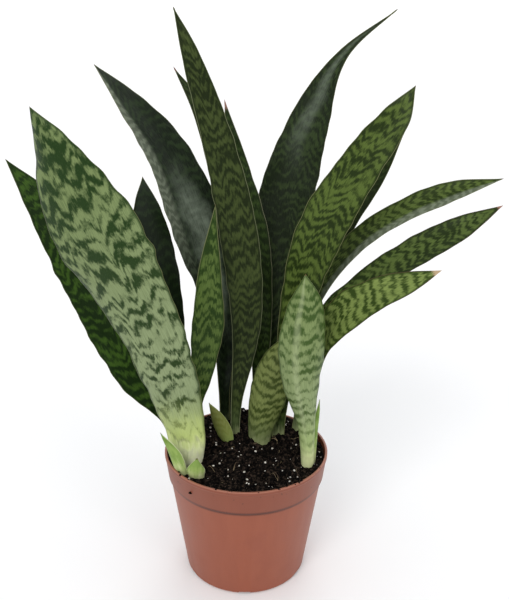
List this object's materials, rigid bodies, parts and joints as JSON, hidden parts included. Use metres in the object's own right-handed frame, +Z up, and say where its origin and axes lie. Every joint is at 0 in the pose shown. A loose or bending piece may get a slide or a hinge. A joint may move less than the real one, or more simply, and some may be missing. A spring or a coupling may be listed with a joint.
{
  "type": "potted snake plant",
  "caption": "Snake plant with tufts of stiff sword-shaped banded leaves standing in peat in a round banded nursery pot",
  "frame": {"origin": "centre of the pot's underside, on the surface that the pot stands on", "axes": "+Z up, -Y the front, where the broad pale leaf stands on the left and the short one on the right, +X to the right"},
  "size_m": [0.3498, 0.1384, 0.4005],
  "materials": {
    "leaf_green": "satin",
    "leaf_dark_green": "satin",
    "sheath_green": "satin",
    "rootstock": "matte",
    "peat": "matte",
    "pot_plastic": "satin"
  },
  "bodies": {
    "root": {"leaf_left_broad": "leaf_green", "leaf_left_inner": "leaf_green", "leaf_back_tall": "leaf_green", "leaf_centre_short": "leaf_green", "leaf_centre_broad": "leaf_green", "leaf_right_short": "leaf_green", "leaf_right_low": "leaf_green", "leaf_right_middle": "leaf_green", "leaf_right_high": "leaf_green", "shoot_back": "leaf_green", "leaf_left_outer": "leaf_dark_green", "leaf_left_rear": "leaf_dark_green", "leaf_back_arching": "leaf_dark_green", "leaf_back_narrow": "leaf_dark_green", "leaf_centre_slim": "leaf_dark_green", "leaf_centre_whip": "leaf_dark_green", "leaf_right_rear": "leaf_dark_green", "sheath_left_outer": "sheath_green", "sheath_left_front": "sheath_green", "sheath_right": "sheath_green", "rootstock_left": "rootstock", "rootstock_back": "rootstock", "rootstock_centre": "rootstock", "rootstock_right": "rootstock", "potting_soil": "peat", "pot": "pot_plastic"}
  },
  "joints": []
}
